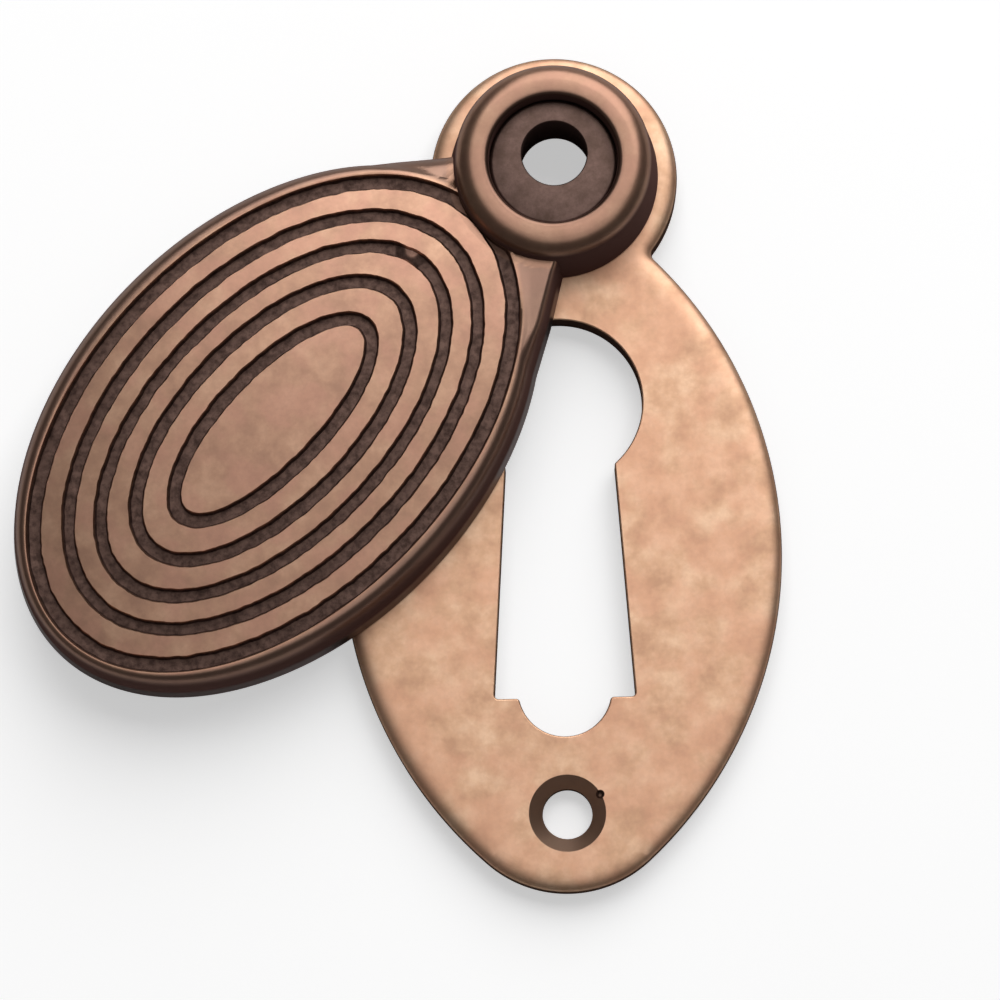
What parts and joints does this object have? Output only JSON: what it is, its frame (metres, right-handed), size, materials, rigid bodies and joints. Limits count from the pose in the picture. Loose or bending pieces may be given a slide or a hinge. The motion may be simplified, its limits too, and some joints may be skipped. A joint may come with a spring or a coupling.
{
  "type": "covered keyhole escutcheon",
  "caption": "Oval keyhole plate with a reeded oval cover that swings aside on a hollow rivet, screwed on through the rivet and the plate's foot.",
  "frame": {"origin": "middle of the top screw hole, on the plane of the plate's back", "axes": "+X across the plate to the right as seen from the front, +Y up the plate towards the pivot lobe's rim, +Z out of the plate's face"},
  "size_m": [0.059, 0.0651, 0.0088],
  "materials": {
    "plate": "light antique copper, satin, softly mottled",
    "cover": "dark antique copper on cast brass, rubbed lands and dark grooves",
    "rivet": "dark bronze, dull"
  },
  "bodies": {
    "plate": {"back_plate": "plate", "pivot_rivet": "rivet"},
    "cover": {"cover": "cover"}
  },
  "joints": [
    {"name": "cover_swing", "type": "hinge", "parent": "plate", "child": "cover", "pos_m": [0, -0.00075, 0.005], "axis": [0, 0, 1], "continuous": true}
  ]
}
